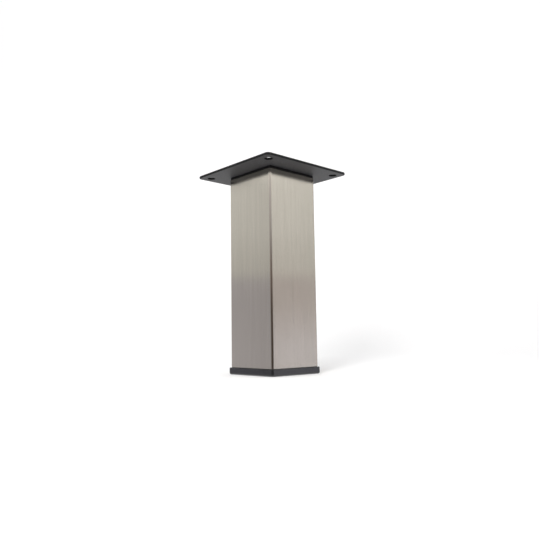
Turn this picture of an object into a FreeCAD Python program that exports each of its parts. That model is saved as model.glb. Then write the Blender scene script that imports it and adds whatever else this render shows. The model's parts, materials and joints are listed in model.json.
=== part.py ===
import FreeCAD, Part
import math
import os

# Square table leg: a brushed steel tube with a push-in foot below and a screwed-on plate above.
# Millimetres. +Z is up, the origin is on the floor at the middle of the foot.

# Overall
LEG_HEIGHT = 165.0

# Square tube
TUBE_SIDE = 50.0
TUBE_WALL = 1.2
TUBE_OUTER_R = 1.5
TUBE_INNER_R = 0.4
TUBE_DEBURR = 0.3

# Mounting plate
PLATE_SIDE = 88.0
PLATE_THICKNESS = 2.0
PLATE_CORNER_R = 3.0
PLATE_EDGE_R = 0.4
FIXING_HOLE_D = 6.2
FIXING_HOLE_BEVEL = 0.2
FIXING_HOLE_RELIEF = 0.6
FIXING_HOLE_SPACING = 72.0

# Countersunk clamp screw
SCREW_D = 8.0
SCREW_LENGTH = 30.0
SCREW_HEAD_D = 16.0
SCREW_HEAD_RIM = 0.3
SCREW_TIP_CHAMFER = 0.8
SCREW_BEYOND_NUT = 3.0
SOCKET_FLATS = 5.0
SOCKET_DEPTH = 2.8

# Hexagon clamp nut
NUT_FLATS = 13.0
NUT_HEIGHT = 6.5
NUT_CHAMFER_ANGLE = 30.0
NUT_BORE_BEVEL = 0.5

# Top plug
PLUG_FLANGE = 2.0
PLUG_FLANGE_INSET = 0.3
PLUG_FLANGE_BEVEL = 0.25
PLUG_DEPTH = 24.0
PLUG_WALL = 2.2
PLUG_BOSS_D = 21.0
PLUG_RIB = 2.4
PLUG_RIB_DEPTH = 18.0
PLUG_INSIDE_R = 1.5

# Foot cap
FOOT_FLANGE = 5.5
FOOT_PROUD = 1.2
FOOT_CORNER_R = 1.5
FOOT_LOWER_EDGE_R = 1.4
FOOT_UPPER_EDGE_R = 0.4
FOOT_FLOOR = 3.0
FOOT_DEPTH = 22.0
FOOT_WALL = 2.2
FOOT_INSIDE_R = 1.5

# Gripping fins on the four sides of both skirts
FIN_REACH = 1.0
FIN_HEIGHT = 2.0
FIN_LAND = 0.5
FIN_PITCH = 5.0
FIN_COUNT = 3
FIN_START = 4.0
FIN_CORNER_GAP = 4.0

# Clearances
SKIRT_FIT = 0.1
SEAT_FIT = 0.05
DIMPLE_FIT = 0.3
SCREW_HOLE_FIT = 0.4
NUT_POCKET_FIT = 0.1
THREAD_FIT = 0.05

# Levels and sizes that follow
plate_top = LEG_HEIGHT
plate_bottom = plate_top - PLATE_THICKNESS
tube_top = plate_bottom - PLUG_FLANGE
tube_bottom = FOOT_FLANGE
tube_bore = TUBE_SIDE - 2 * TUBE_WALL
screw_r = SCREW_D / 2
head_r = SCREW_HEAD_D / 2
screw_hole_r = screw_r + SCREW_HOLE_FIT

# The pressed cone has the screw head's right angle, so its slopes run at 45 degrees.
seat_r = head_r + SEAT_FIT
seat_level = plate_top - SCREW_HEAD_RIM
throat_level = seat_level - (seat_r - screw_hole_r)
dimple_bottom = throat_level - PLATE_THICKNESS / 2
dimple_r = seat_r + SCREW_HEAD_RIM + PLATE_THICKNESS * (math.sqrt(2) - 1)
dimple_bottom_r = dimple_r - (plate_bottom - dimple_bottom)

screw_tip = plate_top - SCREW_LENGTH
nut_bottom = screw_tip + SCREW_BEYOND_NUT
nut_top = nut_bottom + NUT_HEIGHT

# Both skirts stand clear of the tube by their fins, which reach almost to its wall.
fin_side = tube_bore - 2 * SKIRT_FIT
skirt_side = fin_side - 2 * FIN_REACH
skirt_corner_r = TUBE_INNER_R + SKIRT_FIT


def square_wire(side, radius, level):
    """Outline of a square with rounded corners, centred on the leg's axis."""
    half = side / 2
    inner = half - radius
    slant = radius * math.sqrt(0.5)
    edges = []
    for quarter in range(4):
        turn = FreeCAD.Rotation(FreeCAD.Vector(0, 0, 1), 90 * quarter)
        start = turn.multVec(FreeCAD.Vector(half, -inner, 0))
        end = turn.multVec(FreeCAD.Vector(half, inner, 0))
        middle = turn.multVec(FreeCAD.Vector(inner + slant, inner + slant, 0))
        after = turn.multVec(FreeCAD.Vector(inner, half, 0))
        edges.append(Part.LineSegment(start, end).toShape())
        edges.append(Part.Arc(end, middle, after).toShape())
    wire = Part.Wire(edges)
    wire.translate(FreeCAD.Vector(0, 0, level))
    return wire


def square_prism(side, radius, level, height):
    """Upright block on a rounded square."""
    return Part.Face(square_wire(side, radius, level)).extrude(FreeCAD.Vector(0, 0, height))


def hexagon_prism(flats, level, height):
    """Upright hexagon of a given width across flats."""
    corner = flats / 2 / math.cos(math.radians(30))
    points = []
    for step in range(7):
        angle = math.radians(60 * step)
        points.append(FreeCAD.Vector(corner * math.cos(angle), corner * math.sin(angle), level))
    return Part.Face(Part.makePolygon(points)).extrude(FreeCAD.Vector(0, 0, height))


def turned(profile):
    """Solid of revolution from (radius, level) points round the leg's axis."""
    points = [FreeCAD.Vector(radius, 0, level) for radius, level in profile]
    face = Part.Face(Part.makePolygon(points + points[:1]))
    return face.revolve(FreeCAD.Vector(0, 0, 0), FreeCAD.Vector(0, 0, 1), 360)


def round_bar(radius, level, height):
    """Upright round bar on the leg's axis."""
    return Part.makeCylinder(radius, height, FreeCAD.Vector(0, 0, level))


def bevelled_bore(radius, bottom, bottom_bevel, top, top_bevel):
    """Round cutter on the leg's axis that widens to a bevel at both ends."""
    return turned([
        (0, bottom),
        (radius + bottom_bevel, bottom),
        (radius, bottom + bottom_bevel),
        (radius, top - top_bevel),
        (radius + top_bevel, top),
        (0, top),
    ])


def edges_at(shape, level):
    """Edges that lie flat at one level."""
    flat = []
    for edge in shape.Edges:
        box = edge.BoundBox
        if abs(box.ZMin - level) < 1e-4 and abs(box.ZMax - level) < 1e-4:
            flat.append(edge)
    return flat


def make_mounting_plate():
    """Blanked plate with eased edges and a pressed cone for the clamp screw.

    The screw holes are relieved at the top, where wood rises round a screw.
    """
    plate = square_prism(PLATE_SIDE, PLATE_CORNER_R, plate_bottom, PLATE_THICKNESS)
    rims = edges_at(plate, plate_bottom) + edges_at(plate, plate_top)
    plate = plate.makeFillet(PLATE_EDGE_R, rims)
    offset = FIXING_HOLE_SPACING / 2
    for x in (-offset, offset):
        for y in (-offset, offset):
            hole = bevelled_bore(
                FIXING_HOLE_D / 2, plate_bottom, FIXING_HOLE_BEVEL, plate_top, FIXING_HOLE_RELIEF)
            hole.translate(FreeCAD.Vector(x, y, 0))
            plate = plate.cut(hole)
    dimple = turned([
        (0, plate_bottom),
        (dimple_r, plate_bottom),
        (dimple_bottom_r, dimple_bottom),
        (0, dimple_bottom),
    ])
    seat = turned([
        (0, plate_top),
        (seat_r, plate_top),
        (seat_r, seat_level),
        (screw_hole_r, throat_level),
        (screw_hole_r, dimple_bottom),
        (0, dimple_bottom),
    ])
    return plate.fuse(dimple).cut(seat).removeSplitter()


def make_leg_tube():
    """Square tube, cut square, with the outer rim of both ends deburred."""
    length = tube_top - tube_bottom
    outer = square_prism(TUBE_SIDE, TUBE_OUTER_R, tube_bottom, length)
    ends = edges_at(outer, tube_bottom) + edges_at(outer, tube_top)
    outer = outer.makeChamfer(TUBE_DEBURR, ends)
    return outer.cut(square_prism(tube_bore, TUBE_INNER_R, tube_bottom, length))


def make_fins(mouth, direction):
    """Barbs that wedge a skirt in the tube, flat towards the mouth and clear of the corners."""
    length = skirt_side - 2 * FIN_CORNER_GAP
    root = skirt_side / 2
    rim = fin_side / 2
    fins = []
    for number in range(FIN_COUNT):
        start = mouth + direction * (FIN_START + number * FIN_PITCH)
        land_end = start + direction * FIN_LAND
        slope_end = start + direction * FIN_HEIGHT
        profile = [(root, start), (rim, start), (rim, land_end), (root, slope_end)]
        points = [FreeCAD.Vector(reach, -length / 2, level) for reach, level in profile]
        barb = Part.Face(Part.makePolygon(points + points[:1])).extrude(FreeCAD.Vector(0, length, 0))
        for quarter in range(4):
            fin = barb.copy()
            fin.rotate(FreeCAD.Vector(0, 0, 0), FreeCAD.Vector(0, 0, 1), 90 * quarter)
            fins.append(fin)
    return fins


def make_skirt(mouth, direction, depth):
    """Solid square skirt with its fins, from the mouth of the tube inwards."""
    start = min(mouth, mouth + direction * depth)
    skirt = square_prism(skirt_side, skirt_corner_r, start, depth)
    return skirt.multiFuse(make_fins(mouth, direction))


def make_top_plug():
    """Moulded plug: thin inset flange, finned skirt, ribbed boss with a nut pocket."""
    flange = square_prism(TUBE_SIDE - 2 * PLUG_FLANGE_INSET, TUBE_OUTER_R, tube_top, PLUG_FLANGE)
    rims = edges_at(flange, tube_top) + edges_at(flange, plate_bottom)
    flange = flange.makeChamfer(PLUG_FLANGE_BEVEL, rims)
    skirt_bottom = tube_top - PLUG_DEPTH
    inside = skirt_side - 2 * PLUG_WALL
    hollow = square_prism(inside, PLUG_INSIDE_R, skirt_bottom, PLUG_DEPTH)
    skirt = make_skirt(tube_top, -1, PLUG_DEPTH).cut(hollow)
    boss = round_bar(PLUG_BOSS_D / 2, nut_bottom, tube_top - nut_bottom)
    rib = Part.makeBox(inside, PLUG_RIB, PLUG_RIB_DEPTH)
    rib.translate(FreeCAD.Vector(-inside / 2, -PLUG_RIB / 2, tube_top - PLUG_RIB_DEPTH))
    cross_rib = rib.copy()
    cross_rib.rotate(FreeCAD.Vector(0, 0, 0), FreeCAD.Vector(0, 0, 1), 90)
    plug = flange.multiFuse([skirt, boss, rib, cross_rib])
    room_r = dimple_r + DIMPLE_FIT
    room_bottom = dimple_bottom - DIMPLE_FIT
    dimple_room = turned([
        (0, plate_bottom),
        (room_r, plate_bottom),
        (room_r - (plate_bottom - room_bottom), room_bottom),
        (0, room_bottom),
    ])
    plug = plug.cut(dimple_room)
    plug = plug.cut(round_bar(screw_hole_r, nut_bottom, tube_top - nut_bottom))
    pocket = hexagon_prism(NUT_FLATS + 2 * NUT_POCKET_FIT, nut_bottom, NUT_HEIGHT)
    return plug.cut(pocket).removeSplitter()


def make_clamp_screw():
    """Countersunk screw with a hexagon socket, its head level with the plate's top."""
    head_bottom = plate_top - SCREW_HEAD_RIM - (head_r - screw_r)
    screw = turned([
        (0, plate_top),
        (head_r, plate_top),
        (head_r, plate_top - SCREW_HEAD_RIM),
        (screw_r, head_bottom),
        (screw_r, screw_tip + SCREW_TIP_CHAMFER),
        (screw_r - SCREW_TIP_CHAMFER, screw_tip),
        (0, screw_tip),
    ])
    return screw.cut(hexagon_prism(SOCKET_FLATS, plate_top - SOCKET_DEPTH, SOCKET_DEPTH))


def make_clamp_nut():
    """Hexagon nut with chamfered corners and bore."""
    corner = NUT_FLATS / 2 / math.cos(math.radians(30))
    drop = (corner - NUT_FLATS / 2) * math.tan(math.radians(NUT_CHAMFER_ANGLE))
    barrel = turned([
        (0, nut_bottom),
        (NUT_FLATS / 2, nut_bottom),
        (corner, nut_bottom + drop),
        (corner, nut_top - drop),
        (NUT_FLATS / 2, nut_top),
        (0, nut_top),
    ])
    bore = bevelled_bore(screw_r + THREAD_FIT, nut_bottom, NUT_BORE_BEVEL, nut_top, NUT_BORE_BEVEL)
    return hexagon_prism(NUT_FLATS, nut_bottom, NUT_HEIGHT).common(barrel).cut(bore)


def make_foot_cap():
    """Moulded foot: proud flange with rounded edges and a hollow finned skirt."""
    side = TUBE_SIDE + 2 * FOOT_PROUD
    flange = square_prism(side, FOOT_CORNER_R, 0, FOOT_FLANGE)
    flange = flange.makeFillet(FOOT_LOWER_EDGE_R, edges_at(flange, 0))
    flange = flange.makeFillet(FOOT_UPPER_EDGE_R, edges_at(flange, FOOT_FLANGE))
    inside = skirt_side - 2 * FOOT_WALL
    hollow = square_prism(inside, FOOT_INSIDE_R, FOOT_FLOOR, tube_bottom + FOOT_DEPTH - FOOT_FLOOR)
    cap = flange.fuse(make_skirt(tube_bottom, 1, FOOT_DEPTH))
    return cap.cut(hollow).removeSplitter()


pieces = {
    "mounting_plate": make_mounting_plate(),
    "leg_tube": make_leg_tube(),
    "foot_cap": make_foot_cap(),
    "top_plug": make_top_plug(),
    "clamp_screw": make_clamp_screw(),
    "clamp_nut": make_clamp_nut(),
}

os.makedirs("parts", exist_ok=True)
for name, shape in pieces.items():
    shape.exportStep(os.path.join("parts", name + ".step"))
    box = shape.BoundBox
    size = f"{box.XLength:.2f} x {box.YLength:.2f} x {box.ZLength:.2f} mm"
    print(f"{name}: {len(shape.Solids)} solid, {size}, valid {shape.isValid()}")
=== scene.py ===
import json
import math

import bpy
from mathutils import Matrix, Vector


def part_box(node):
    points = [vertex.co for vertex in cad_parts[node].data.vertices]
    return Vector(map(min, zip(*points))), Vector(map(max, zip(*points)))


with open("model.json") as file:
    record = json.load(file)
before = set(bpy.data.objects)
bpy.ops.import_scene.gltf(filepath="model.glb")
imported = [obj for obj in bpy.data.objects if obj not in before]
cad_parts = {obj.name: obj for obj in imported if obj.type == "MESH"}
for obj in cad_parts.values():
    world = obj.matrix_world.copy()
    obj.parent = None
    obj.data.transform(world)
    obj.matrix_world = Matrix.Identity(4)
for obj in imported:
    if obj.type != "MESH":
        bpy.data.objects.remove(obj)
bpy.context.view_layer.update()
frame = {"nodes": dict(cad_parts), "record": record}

# Metres, in the leg's own frame: the foot stands on the floor at the origin.
MM = 0.001

# Camera: a normal lens a little above the foot, which looks at the tube's near corner from below the plate.
# Its lens and sensor are in mm.
CAMERA_AZIMUTH = math.radians(47.39)
CAMERA_DISTANCE = 469.2 * MM
CAMERA_HEIGHT = 30.7 * MM
CAMERA_TURN = math.radians(0.31)
CAMERA_PITCH = math.radians(6.54)
CAMERA_ROLL = math.radians(-0.80)
CAMERA_LENS = 38.19
CAMERA_SENSOR = 36.0
CAMERA_NEAREST = 10 * MM

# Tube: width and length of a brush stroke in mm, and how much of the tone the wider strokes make.
# The real scratches are about 0.05 mm apart; they are drawn at 0.2 mm so that the render shows them.
SCRATCH = (0.2, 60)
STREAK = (1.2, 80)
BAND = (2.5, 110)
BAND_SHARE = 0.15
WIDE_SHARE = 0.55
SCRATCH_DEPTH = 0.03
# The stroke pattern is shifted and turned, so that no face of the tube lies along its cells.
STROKE_SHIFT = (0.3, 0.6, 0.4)
STROKE_TURN = (0.0, 0.0, 0.5)

# Plate, in mm: orange peel, slow changes of tone, and its corner radius.
PEEL = 1.2
PEEL_DEPTH = 0.06
PEEL_SHARE = 0.9
PAINT_CLOUD = 12
PLATE_CORNER = 3.0
# How far the painted shade on the plate's eased rim and on a screw hole's bevelled rim reaches past their
# walls, in mm
PLATE_RIM = 0.3
HOLE_RIM = 0.25
# Specular level of the coat, and the lower level in the screw holes that dulls them along with their
# painted shade.
COAT_GLOSS = 0.32
HOLE_GLOSS = 0.08

# Mouldings, in mm. Real spark-eroded grain is about 0.2 mm; it is drawn coarser so that it shows.
SKIN_GRAIN = 1.2
SKIN_DEPTH = 0.02
SKIN_SHARE = 0.75
FOOT_FLOW = 9
PLUG_FLOW = 7

# Screw and nut, in mm. Real turning marks are about 0.1 mm apart; they are drawn coarser to show.
TURNING_MARK = 2.5
TURNING_DEPTH = 0.004
ZINC_CLOUD = 3

# Floor and room: the floor ends inside the ring of cards, so that no darker strip shows past them.
FLOOR_DROP = 0.1 * MM
FLOOR_WIDTH = 1.9
FLOOR_FRONT = 0.95
FLOOR_BACK = 0.33
SWEEP_RADIUS = 0.6
SWEEP_HEIGHT = 1.5
SWEEP_STEPS = 24
WORLD_ROOM_LIGHT = 0.91

# Key lamp: its power is in watts.
KEY_AZIMUTH = math.radians(-17)
KEY_ELEVATION = math.radians(20)
KEY_DISTANCE = 1.3
KEY_SIZE = 0.35
KEY_POWER = 13.6

# Cards: each light is a list of height in mm, brightness and tint, from the card's foot to its top.
CARD_RADIUS = 1.0
CARD_STEPS = 24
WHITE = "#ffffff"
COOL_WHITE = "#f8f5ff"
ROSE_WHITE = "#fff8fc"
WARM_WHITE = "#ffe9e4"
LEFT_LIGHT = [
    (-600, 1.00, WHITE), (-80, 0.82, COOL_WHITE), (0, 0.82, COOL_WHITE), (110, 0.77, COOL_WHITE),
    (166, 0.79, COOL_WHITE), (190, 0.93, WHITE), (227, 0.97, WHITE), (300, 1.09, WHITE),
    (396, 1.12, WHITE), (416, 1.12, WHITE), (600, 1.10, WHITE), (1000, 1.00, WHITE),
]
RIGHT_LIGHT = [
    (-600, 1.00, WHITE), (-80, 1.03, COOL_WHITE), (0, 1.03, COOL_WHITE), (110, 0.775, ROSE_WHITE),
    (166, 0.725, ROSE_WHITE), (190, 0.87, WHITE), (227, 0.88, WHITE), (300, 0.98, WHITE),
    (396, 1.02, WHITE), (416, 1.02, WHITE), (1000, 1.00, WHITE),
]
SHOULDER_LIGHT = [
    (-600, 1.00, WHITE), (-80, 0.145, WARM_WHITE), (110, 0.195, WARM_WHITE), (196, 0.37, WARM_WHITE),
    (300, 0.48, ROSE_WHITE), (410, 0.60, ROSE_WHITE), (450, 1.30, WHITE), (600, 1.30, WHITE),
    (1000, 1.00, WHITE),
]
CAMERA_SIDE_LIGHT = [
    (-600, 1.00, WHITE), (-80, 0.06, WARM_WHITE), (100, 0.085, WARM_WHITE), (196, 0.175, WARM_WHITE),
    (260, 0.32, ROSE_WHITE), (300, 0.45, ROSE_WHITE), (410, 0.62, ROSE_WHITE), (700, 0.64, ROSE_WHITE),
    (1000, 1.00, WHITE),
]
# Each card: from and to azimuth in degrees, its light, and its share of that light below and above the
# top level. Azimuth 0 is the camera's side, and positive is to the camera's right.
CARD_TOP_LEVEL = 400
CARDS = {
    "left_back": (-140, -95, LEFT_LIGHT, 0.77, 0.25),
    "left_side": (-95, -75, LEFT_LIGHT, 0.48, 1.05),
    "left_shoulder": (-75, -40, SHOULDER_LIGHT, 1.0, 1.0),
    "camera_side": (-40, 40, CAMERA_SIDE_LIGHT, 1.0, 1.0),
    "right_shoulder": (40, 75, SHOULDER_LIGHT, 1.0, 1.0),
    "right_side": (75, 95, RIGHT_LIGHT, 1.0, 1.0),
    "right_back": (95, 125, RIGHT_LIGHT, 0.33, 0.33),
}


def linear(colour):
    """Linear RGBA from an sRGB hex colour."""
    channels = [int(colour[start:start + 2], 16) / 255 for start in (1, 3, 5)]
    return [c / 12.92 if c <= 0.04045 else ((c + 0.055) / 1.055) ** 2.4 for c in channels] + [1.0]


def add(tree, kind, inputs=None, **settings):
    """Adds a node, sets its properties, and sets or links its inputs."""
    node = tree.nodes.new(kind)
    for name, value in settings.items():
        setattr(node, name, value)
    for name, value in (inputs or {}).items():
        if isinstance(value, bpy.types.NodeSocket):
            tree.links.new(value, node.inputs[name])
        else:
            node.inputs[name].default_value = value
    return node


def ramp(tree, factor, stops):
    """Adds a colour ramp with (position, linear colour) stops."""
    node = add(tree, "ShaderNodeValToRGB", {"Fac": factor})
    elements = node.color_ramp.elements
    for position, _ in stops[2:]:
        elements.new(position)
    for element, (position, colour) in zip(elements, stops):
        element.position = position
        element.color = colour
    return node.outputs["Color"]


def empty_material(name):
    """A material with no nodes yet."""
    material = bpy.data.materials.new(name)
    material.use_nodes = True
    material.node_tree.nodes.clear()
    return material, material.node_tree


def finish_material(tree, inputs):
    """Adds the surface shader with its inputs and joins it to the output."""
    shader = add(tree, "ShaderNodeBsdfPrincipled", inputs)
    add(tree, "ShaderNodeOutputMaterial", {"Surface": shader.outputs["BSDF"]})


def brushed_nickel_plated_steel():
    """Steel brushed lengthways, then nickel plated: warm grey, sharp up the grain and wide across it."""
    material, tree = empty_material("brushed_nickel_plated_steel")
    place = add(tree, "ShaderNodeTexCoord").outputs["Object"]
    strokes = []
    for width, length in (SCRATCH, STREAK, BAND):
        stretched = add(tree, "ShaderNodeMapping", {
            "Vector": place,
            "Location": STROKE_SHIFT,
            "Rotation": STROKE_TURN,
            "Scale": (1 / (width * MM), 1 / (width * MM), 1 / (length * MM)),
        })
        strokes.append(add(tree, "ShaderNodeTexNoise", {
            "Vector": stretched.outputs["Vector"], "Scale": 1.0, "Detail": 2.0, "Roughness": 0.5,
        }).outputs["Fac"])
    scratches, streaks, bands = strokes
    wide = add(tree, "ShaderNodeMix", {"Factor": BAND_SHARE, "A": streaks, "B": bands})
    brushing = add(tree, "ShaderNodeMix", {
        "Factor": WIDE_SHARE, "A": scratches, "B": wide.outputs["Result"],
    })
    tone = ramp(tree, brushing.outputs["Result"], [
        (0.3, linear("#cec9bc")),
        (0.7, linear("#d9d3c6")),
    ])
    relief = add(tree, "ShaderNodeBump", {
        "Strength": 1.0, "Distance": SCRATCH_DEPTH * MM, "Height": scratches,
    })
    grain = add(tree, "ShaderNodeTangent", direction_type="RADIAL", axis="Z")
    finish_material(tree, {
        "Base Color": tone,
        "Metallic": 1.0,
        "Roughness": 0.18,
        "Anisotropic": 1.0,
        "Normal": relief.outputs["Normal"],
        "Tangent": grain.outputs["Tangent"],
    })
    return material


def plate_rim_shade_mask(tree, quarter):
    """Mask of the painted shade on the plate's edges: 1 on the plate's rounded outline and 0 inside it,
    from a place in the plate's first quarter.
    """
    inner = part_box("mounting_plate")[1][0] - PLATE_CORNER * MM
    past = add(tree, "ShaderNodeVectorMath", {
        0: quarter, 1: (inner, inner, 1.0),
    }, operation="SUBTRACT")
    reach = add(tree, "ShaderNodeVectorMath", {
        0: past.outputs["Vector"], 1: (0.0, 0.0, 0.0),
    }, operation="MAXIMUM")
    outward = add(tree, "ShaderNodeVectorMath", {0: reach.outputs["Vector"]}, operation="LENGTH")
    return add(tree, "ShaderNodeMath", {
        0: outward.outputs["Value"], 1: (PLATE_CORNER - PLATE_RIM) * MM,
    }, operation="GREATER_THAN").outputs["Value"]


def screw_hole_shade_mask(tree, quarter):
    """Mask of the painted shade in the screw holes: 1 in a screw hole and on its rim, and 0 elsewhere, from
    a place in the plate's first quarter.
    """
    mounts = frame["record"]["mounts"]
    pattern = next(mount for mount in mounts if mount["kind"] == "bolt_pattern")["dims"]
    centre = (pattern["spacing_x_mm"] / 2 * MM, pattern["spacing_y_mm"] / 2 * MM, 0.0)
    offset = add(tree, "ShaderNodeVectorMath", {0: quarter, 1: centre}, operation="SUBTRACT")
    flat = add(tree, "ShaderNodeVectorMath", {
        0: offset.outputs["Vector"], 1: (1.0, 1.0, 0.0),
    }, operation="MULTIPLY")
    radius = add(tree, "ShaderNodeVectorMath", {0: flat.outputs["Vector"]}, operation="LENGTH")
    return add(tree, "ShaderNodeMath", {
        0: radius.outputs["Value"], 1: (pattern["hole_r_mm"] + HOLE_RIM) * MM,
    }, operation="LESS_THAN").outputs["Value"]


def black_powder_coated_steel():
    """Blanked steel plate with a baked powder coat: charcoal, half matt, with a fine orange peel."""
    material, tree = empty_material("black_powder_coated_steel")
    place = add(tree, "ShaderNodeTexCoord").outputs["Object"]
    quarter = add(tree, "ShaderNodeVectorMath", {0: place}, operation="ABSOLUTE").outputs["Vector"]
    peel = add(tree, "ShaderNodeTexNoise", {
        "Vector": place, "Scale": 1 / (PEEL * MM), "Detail": 2.0, "Roughness": 0.6,
    }).outputs["Fac"]
    cloud = add(tree, "ShaderNodeTexNoise", {
        "Vector": place, "Scale": 1 / (PAINT_CLOUD * MM), "Detail": 3.0, "Roughness": 0.6,
    }).outputs["Fac"]
    grain = add(tree, "ShaderNodeMix", {"Factor": PEEL_SHARE, "A": cloud, "B": peel})
    paint = ramp(tree, grain.outputs["Result"], [
        (0.35, linear("#353537")),
        (0.65, linear("#444446")),
    ])
    # Painted shade: the plate's rounded outline is painted darker, to stand in for the shade on its edges
    # and take the highlight off its corners.
    painted_edge_shade = add(tree, "ShaderNodeMixRGB", {
        "Fac": plate_rim_shade_mask(tree, quarter), "Color1": paint, "Color2": linear("#0e0e0f"),
    })
    # Painted shade: the screw holes and their rims are painted near black and made duller, to stand in for
    # the shade inside the holes.
    hole = screw_hole_shade_mask(tree, quarter)
    tone = add(tree, "ShaderNodeMixRGB", {
        "Fac": hole, "Color1": painted_edge_shade.outputs["Color"], "Color2": linear("#060606"),
    })
    gloss = add(tree, "ShaderNodeMapRange", {
        "Value": hole, "To Min": COAT_GLOSS, "To Max": HOLE_GLOSS,
    })
    relief = add(tree, "ShaderNodeBump", {
        "Strength": 1.0, "Distance": PEEL_DEPTH * MM, "Height": peel,
    })
    finish_material(tree, {
        "Base Color": tone.outputs["Color"],
        "Roughness": 0.55,
        "Specular IOR Level": gloss.outputs["Result"],
        "Normal": relief.outputs["Normal"],
    })
    return material


def black_moulded_polypropylene():
    """Injection-moulded polypropylene: satin black, with a faint spark-eroded grain that mirrors softly."""
    material, tree = empty_material("black_moulded_polypropylene")
    place = add(tree, "ShaderNodeTexCoord").outputs["Object"]
    skin = add(tree, "ShaderNodeTexNoise", {
        "Vector": place, "Scale": 1 / (SKIN_GRAIN * MM), "Detail": 2.0, "Roughness": 0.6,
    }).outputs["Fac"]
    flow = add(tree, "ShaderNodeTexNoise", {
        "Vector": place, "Scale": 1 / (FOOT_FLOW * MM), "Detail": 2.0, "Roughness": 0.5,
    }).outputs["Fac"]
    speckle = add(tree, "ShaderNodeMix", {"Factor": SKIN_SHARE, "A": flow, "B": skin})
    tone = ramp(tree, speckle.outputs["Result"], [
        (0.35, linear("#060607")),
        (0.65, linear("#1d1d20")),
    ])
    relief = add(tree, "ShaderNodeBump", {
        "Strength": 1.0, "Distance": SKIN_DEPTH * MM, "Height": skin,
    })
    finish_material(tree, {
        "Base Color": tone,
        "Roughness": 0.24,
        "IOR": 1.49,
        "Specular IOR Level": 0.82,
        "Normal": relief.outputs["Normal"],
    })
    return material


def black_moulded_nylon():
    """Injection-moulded nylon: as black as the foot but matt, so its flange is a dark line in the joint."""
    material, tree = empty_material("black_moulded_nylon")
    place = add(tree, "ShaderNodeTexCoord").outputs["Object"]
    flow = add(tree, "ShaderNodeTexNoise", {
        "Vector": place, "Scale": 1 / (PLUG_FLOW * MM), "Detail": 2.0, "Roughness": 0.5,
    }).outputs["Fac"]
    tone = ramp(tree, flow, [
        (0.3, linear("#0e0e0f")),
        (0.7, linear("#141415")),
    ])
    finish_material(tree, {
        "Base Color": tone,
        "Roughness": 0.65,
        "IOR": 1.53,
        "Specular IOR Level": 0.25,
    })
    return material


def zinc_plated_steel():
    """Turned and bright zinc-plated steel: cool silver with fine turning marks."""
    material, tree = empty_material("zinc_plated_steel")
    place = add(tree, "ShaderNodeTexCoord").outputs["Object"]
    marks = add(tree, "ShaderNodeTexWave", {
        "Vector": place, "Scale": 1 / (TURNING_MARK * MM), "Distortion": 1.5, "Detail": 1.0,
    }, wave_type="RINGS", rings_direction="Z").outputs["Fac"]
    cloud = add(tree, "ShaderNodeTexNoise", {
        "Vector": place, "Scale": 1 / (ZINC_CLOUD * MM), "Detail": 3.0, "Roughness": 0.6,
    }).outputs["Fac"]
    tone = ramp(tree, cloud, [
        (0.3, linear("#c2c6cb")),
        (0.7, linear("#ced2d6")),
    ])
    relief = add(tree, "ShaderNodeBump", {
        "Strength": 1.0, "Distance": TURNING_DEPTH * MM, "Height": marks,
    })
    finish_material(tree, {
        "Base Color": tone,
        "Metallic": 1.0,
        "Roughness": 0.32,
        "Normal": relief.outputs["Normal"],
    })
    return material


def dress(material, *nodes):
    """Gives CAD nodes one material."""
    for name in nodes:
        slots = frame["nodes"][name].data.materials
        slots.clear()
        slots.append(material)


def make_camera():
    """Camera at the photograph's place and angle."""
    data = bpy.data.cameras.new("camera")
    data.lens = CAMERA_LENS
    data.sensor_width = CAMERA_SENSOR
    data.clip_start = CAMERA_NEAREST
    camera = bpy.data.objects.new("camera", data)
    bpy.context.collection.objects.link(camera)
    spot = Vector((
        math.sin(CAMERA_AZIMUTH) * CAMERA_DISTANCE,
        -math.cos(CAMERA_AZIMUTH) * CAMERA_DISTANCE,
        CAMERA_HEIGHT,
    ))
    turn = Matrix.Rotation(CAMERA_AZIMUTH + CAMERA_TURN, 4, "Z")
    pitch = Matrix.Rotation(math.radians(90) + CAMERA_PITCH, 4, "X")
    roll = Matrix.Rotation(CAMERA_ROLL, 4, "Z")
    camera.matrix_world = Matrix.Translation(spot) @ turn @ pitch @ roll
    bpy.context.scene.camera = camera


def studio_direction(azimuth, elevation):
    """Unit vector from the leg; azimuth 0 is the camera's side and positive is to the camera's right."""
    turned = CAMERA_AZIMUTH + azimuth
    flat = math.cos(elevation)
    return Vector((math.sin(turned) * flat, -math.cos(turned) * flat, math.sin(elevation)))


def make_floor():
    """White floor that sweeps up behind the leg and takes its soft shadow."""
    profile = [(-FLOOR_FRONT, 0.0)]
    for step in range(SWEEP_STEPS + 1):
        angle = math.radians(90) * step / SWEEP_STEPS
        reach = FLOOR_BACK + SWEEP_RADIUS * math.sin(angle)
        profile.append((reach, SWEEP_RADIUS * (1 - math.cos(angle))))
    profile.append((FLOOR_BACK + SWEEP_RADIUS, SWEEP_HEIGHT))
    away = -studio_direction(0, 0)
    across = studio_direction(math.radians(90), 0) * FLOOR_WIDTH / 2
    vertices = []
    for reach, height in profile:
        middle = away * reach + Vector((0, 0, height - FLOOR_DROP))
        vertices += [middle - across, middle + across]
    faces = [(2 * n, 2 * n + 1, 2 * n + 3, 2 * n + 2) for n in range(len(profile) - 1)]
    mesh = bpy.data.meshes.new("floor")
    mesh.from_pydata(vertices, [], faces)
    mesh.shade_smooth()
    floor = bpy.data.objects.new("floor", mesh)
    bpy.context.collection.objects.link(floor)
    material, tree = empty_material("matt_white_floor")
    paint = add(tree, "ShaderNodeBsdfDiffuse", {"Color": linear(WHITE)})
    add(tree, "ShaderNodeOutputMaterial", {"Surface": paint.outputs["BSDF"]})
    mesh.materials.append(material)
    floor.visible_glossy = False


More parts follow.
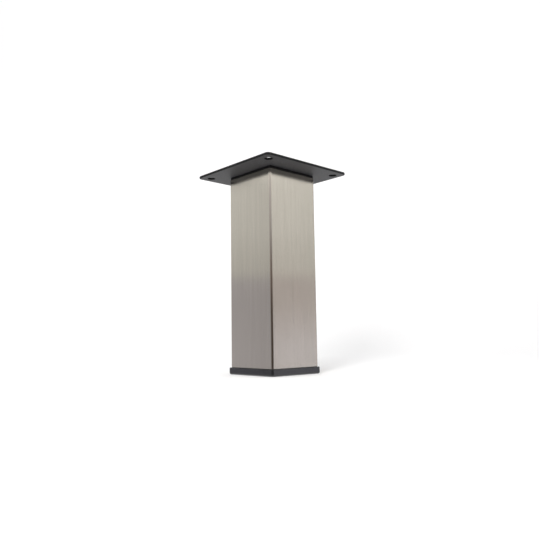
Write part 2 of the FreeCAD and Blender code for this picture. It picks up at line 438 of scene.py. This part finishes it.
def make_card(name, start, end, stops, share, top_share):
    """Curved studio card round the leg, between two azimuths, that only the leg and the floor see."""
    start = math.radians(start)
    end = math.radians(end)
    low = stops[0][0] * MM
    high = stops[-1][0] * MM
    vertices = []
    for step in range(CARD_STEPS + 1):
        foot = studio_direction(start + (end - start) * step / CARD_STEPS, 0) * CARD_RADIUS
        vertices += [(foot.x, foot.y, low), (foot.x, foot.y, high)]
    faces = [(2 * n, 2 * n + 2, 2 * n + 3, 2 * n + 1) for n in range(CARD_STEPS)]
    mesh = bpy.data.meshes.new(name)
    mesh.from_pydata(vertices, [], faces)
    card = bpy.data.objects.new(name, mesh)
    bpy.context.collection.objects.link(card)
    material, tree = empty_material(name)
    place = add(tree, "ShaderNodeTexCoord").outputs["Object"]
    height = add(tree, "ShaderNodeSeparateXYZ", {"Vector": place}).outputs["Z"]
    climb = add(tree, "ShaderNodeMapRange", {"Value": height, "From Min": low, "From Max": high})
    shades = []
    for level, brightness, tint in stops:
        level_share = share if level < CARD_TOP_LEVEL else top_share
        colour = [level_share * brightness * channel for channel in linear(tint)]
        shades.append(((level * MM - low) / (high - low), colour))
    light = add(tree, "ShaderNodeEmission", {"Color": ramp(tree, climb.outputs["Result"], shades)})
    add(tree, "ShaderNodeOutputMaterial", {"Surface": light.outputs["Emission"]})
    mesh.materials.append(material)
    card.visible_camera = False
    card.visible_shadow = False


def make_cards():
    """Cards that the tube mirrors: pale beside it for its faces, dark at the camera for its corner."""
    for name, card in CARDS.items():
        make_card(name, *card)


def make_lamp():
    """Soft key lamp that throws the faint shadow back and to the right."""
    data = bpy.data.lights.new("key_lamp", "AREA")
    data.shape = "DISK"
    data.size = KEY_SIZE
    data.energy = KEY_POWER
    lamp = bpy.data.objects.new("key_lamp", data)
    bpy.context.collection.objects.link(lamp)
    away = studio_direction(KEY_AZIMUTH, KEY_ELEVATION)
    lamp.location = away * KEY_DISTANCE
    lamp.rotation_mode = "QUATERNION"
    lamp.rotation_quaternion = (-away).to_track_quat("-Z", "Y")
    lamp.visible_glossy = False


def make_world():
    """White surroundings in the picture and in gloss, and an even room light elsewhere."""
    world = bpy.data.worlds.new("white_room")
    world.use_nodes = True
    tree = world.node_tree
    tree.nodes.clear()
    path = add(tree, "ShaderNodeLightPath").outputs
    seen = add(tree, "ShaderNodeMath", {
        0: path["Is Camera Ray"], 1: path["Is Glossy Ray"],
    }, operation="MAXIMUM")
    shown = add(tree, "ShaderNodeMath", {
        0: seen.outputs["Value"], 1: path["Is Transmission Ray"],
    }, operation="MAXIMUM")
    level = add(tree, "ShaderNodeMapRange", {
        "Value": shown.outputs["Value"], "To Min": WORLD_ROOM_LIGHT, "To Max": 1.0,
    })
    sky = add(tree, "ShaderNodeBackground", {
        "Color": linear(WHITE), "Strength": level.outputs["Result"],
    })
    add(tree, "ShaderNodeOutputWorld", {"Surface": sky.outputs["Background"]})
    bpy.context.scene.world = world


dress(brushed_nickel_plated_steel(), "leg_tube")
dress(black_powder_coated_steel(), "mounting_plate")
dress(black_moulded_polypropylene(), "foot_cap")
dress(black_moulded_nylon(), "top_plug")
dress(zinc_plated_steel(), "clamp_screw", "clamp_nut")

make_camera()
make_floor()
make_cards()
make_lamp()
make_world()
bpy.context.scene.view_settings.view_transform = "Standard"
